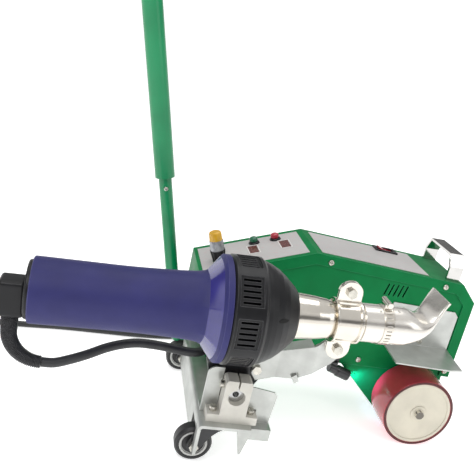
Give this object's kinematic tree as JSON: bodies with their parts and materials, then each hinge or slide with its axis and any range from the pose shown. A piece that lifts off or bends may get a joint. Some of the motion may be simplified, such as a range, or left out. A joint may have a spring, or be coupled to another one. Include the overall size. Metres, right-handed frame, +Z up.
{
  "type": "hot air seam welder with seam roller",
  "caption": "Self-propelled hot-air seam welder: green drive case, driven silicone seam roller, swing-in hot-air gun, casters and telescopic guide pole.",
  "frame": {"origin": "on the floor under the middle of the machine without its mains cord", "axes": "+X is the direction of travel, +Y runs from the gun side to the far side, +Z is up"},
  "size_m": [0.61, 0.3027, 0.7358],
  "materials": {
    "zinc_sheet": "bright zinc plate",
    "bolt_steel": "zinc plated fasteners",
    "black_steel": "black coat",
    "cast_aluminium": "machined",
    "ground_steel": "ground",
    "green_coat": "green powder coat",
    "panel_film": "grey printed film, no lettering",
    "display_red": "dark red window",
    "black_plastic": "black moulded",
    "polished_strap": "polished strap",
    "bearing_steel": "polished",
    "motor_steel": "grey",
    "lamp_glass": "clear lens",
    "board": "circuit board",
    "grommet_rubber": "black",
    "cord_rubber": "black jacket",
    "wheel_black": "black wheel with light rim ring",
    "silicone_red": "glossy red silicone",
    "hub_paint": "cream face",
    "green_button": "green",
    "red_button": "red",
    "knob": "yellow cap, bright ring and black skirt",
    "bronze": "oiled bronze",
    "blue_grip": "violet blue moulded grip",
    "hot_steel": "polished stainless steel",
    "ceramic": "ceramic"
  },
  "bodies": {
    "machine": {"platform": "zinc_sheet", "chassis_bolts": "bolt_steel", "caster_forks": "black_steel", "clamp_block": "cast_aluminium", "guide_shaft": "ground_steel", "shaft_flange": "cast_aluminium", "guide_bracket": "zinc_sheet", "pointer": "zinc_sheet", "side_panel": "green_coat", "top_cover": "green_coat", "base_tray": "green_coat", "cover_screws": "bolt_steel", "control_overlays": "panel_film", "display_windows": "display_red", "panel_bezels": "black_plastic", "carry_handle": "polished_strap", "chain_case": "green_coat", "roller_bearings": "bearing_steel", "drive_chain": "ground_steel", "gear_motor": "motor_steel", "heat_shield": "zinc_sheet", "lamp_body": "black_steel", "lamp_lens": "lamp_glass", "control_board": "board", "power_supply": "motor_steel", "pole_bracket": "green_coat", "pole_rod": "green_coat", "cable_grommet": "grommet_rubber", "cord_gland": "black_plastic", "power_cord": "cord_rubber", "cord_coil": "cord_rubber", "power_plug": "grommet_rubber"},
    "near_caster": {"near_wheel": "wheel_black"},
    "far_caster": {"far_wheel": "wheel_black"},
    "roller": {"roller_tread": "silicone_red", "roller_hub": "hub_paint", "roller_sprocket": "ground_steel"},
    "motor_drive": {"motor_sprocket": "ground_steel"},
    "start": {"start_button": "green_button"},
    "stop": {"stop_button": "red_button"},
    "power_rocker": {"rocker": "red_button"},
    "knob": {"speed_knob": "knob"},
    "upper_pole": {"pole_tube": "green_coat", "pole_grip": "grommet_rubber"},
    "pole_snap": {"snap_button": "bolt_steel"},
    "gun_slide": {"slide_bush": "bronze", "gun_cable": "cord_rubber"},
    "gun": {"swing_arm": "zinc_sheet", "pivot_yoke": "black_steel", "tube_clamps": "hot_steel", "arm_bolts": "bolt_steel", "handle_shell": "blue_grip", "front_shell": "black_plastic", "heater_tube": "hot_steel", "heating_core": "ceramic", "fan_motor": "motor_steel", "hose_clamp": "hot_steel", "nozzle": "hot_steel", "rear_connector": "grommet_rubber"},
    "gun_fan": {"fan_impeller": "black_plastic"}
  },
  "joints": [
    {"name": "near_wheel_spin", "type": "hinge", "parent": "machine", "child": "near_caster", "pos_m": [-0.0505, -0.061, 0.018], "axis": [0, 1, 0], "continuous": true},
    {"name": "far_wheel_spin", "type": "hinge", "parent": "machine", "child": "far_caster", "pos_m": [-0.0505, 0.101, 0.018], "axis": [0, 1, 0], "continuous": true},
    {"name": "roller_spin", "type": "hinge", "parent": "machine", "child": "roller", "pos_m": [0.202, 0.012, 0.04], "axis": [0, 1, 0], "continuous": true},
    {"name": "motor_sprocket_spin", "type": "hinge", "parent": "machine", "child": "motor_drive", "pos_m": [0.15, 0.047, 0.11], "axis": [0, 1, 0], "continuous": true},
    {"name": "start_press", "type": "slide", "parent": "machine", "child": "start", "axis": [0.3427, 0, -0.9394], "range_m": [0, 0.0025], "stiffness_N_per_m": 300, "springref_m": -0.002},
    {"name": "stop_press", "type": "slide", "parent": "machine", "child": "stop", "axis": [0.3427, 0, -0.9394], "range_m": [0, 0.0025], "stiffness_N_per_m": 300, "springref_m": -0.002},
    {"name": "rocker_tilt", "type": "hinge", "parent": "machine", "child": "power_rocker", "pos_m": [0.15635, 0.096, 0.18605], "axis": [0, -1, 0], "range_deg": [0, 21]},
    {"name": "speed_turn", "type": "hinge", "parent": "machine", "child": "knob", "pos_m": [-0.03901, 0.06, 0.15702], "axis": [0.3427, 0, -0.9394], "range_deg": [0, 270]},
    {"name": "pole_extend", "type": "slide", "parent": "machine", "child": "upper_pole", "axis": [-0.2487, 0, 0.9686], "range_m": [0, 0.1]},
    {"name": "snap_press", "type": "slide", "parent": "machine", "child": "pole_snap", "axis": [0, 1, 0], "range_m": [0, 0.0018], "stiffness_N_per_m": 400, "springref_m": -0.001},
    {"name": "gun_travel", "type": "slide", "parent": "machine", "child": "gun_slide", "axis": [0, 1, 0], "range_m": [0, 0.054]},
    {"name": "gun_tilt", "type": "hinge", "parent": "gun_slide", "child": "gun", "pos_m": [-0.022, -0.044, 0.077], "axis": [0, 1, 0], "range_deg": [0, 54.5]},
    {"name": "fan_spin", "type": "hinge", "parent": "gun", "child": "gun_fan", "pos_m": [-0.09996, -0.074, 0.16229], "axis": [0.9992, 0, 0.0391], "continuous": true}
  ],
  "couplings": [
    {"joint": "motor_sprocket_spin", "follows": "roller_spin", "ratio": 1.4}
  ]
}
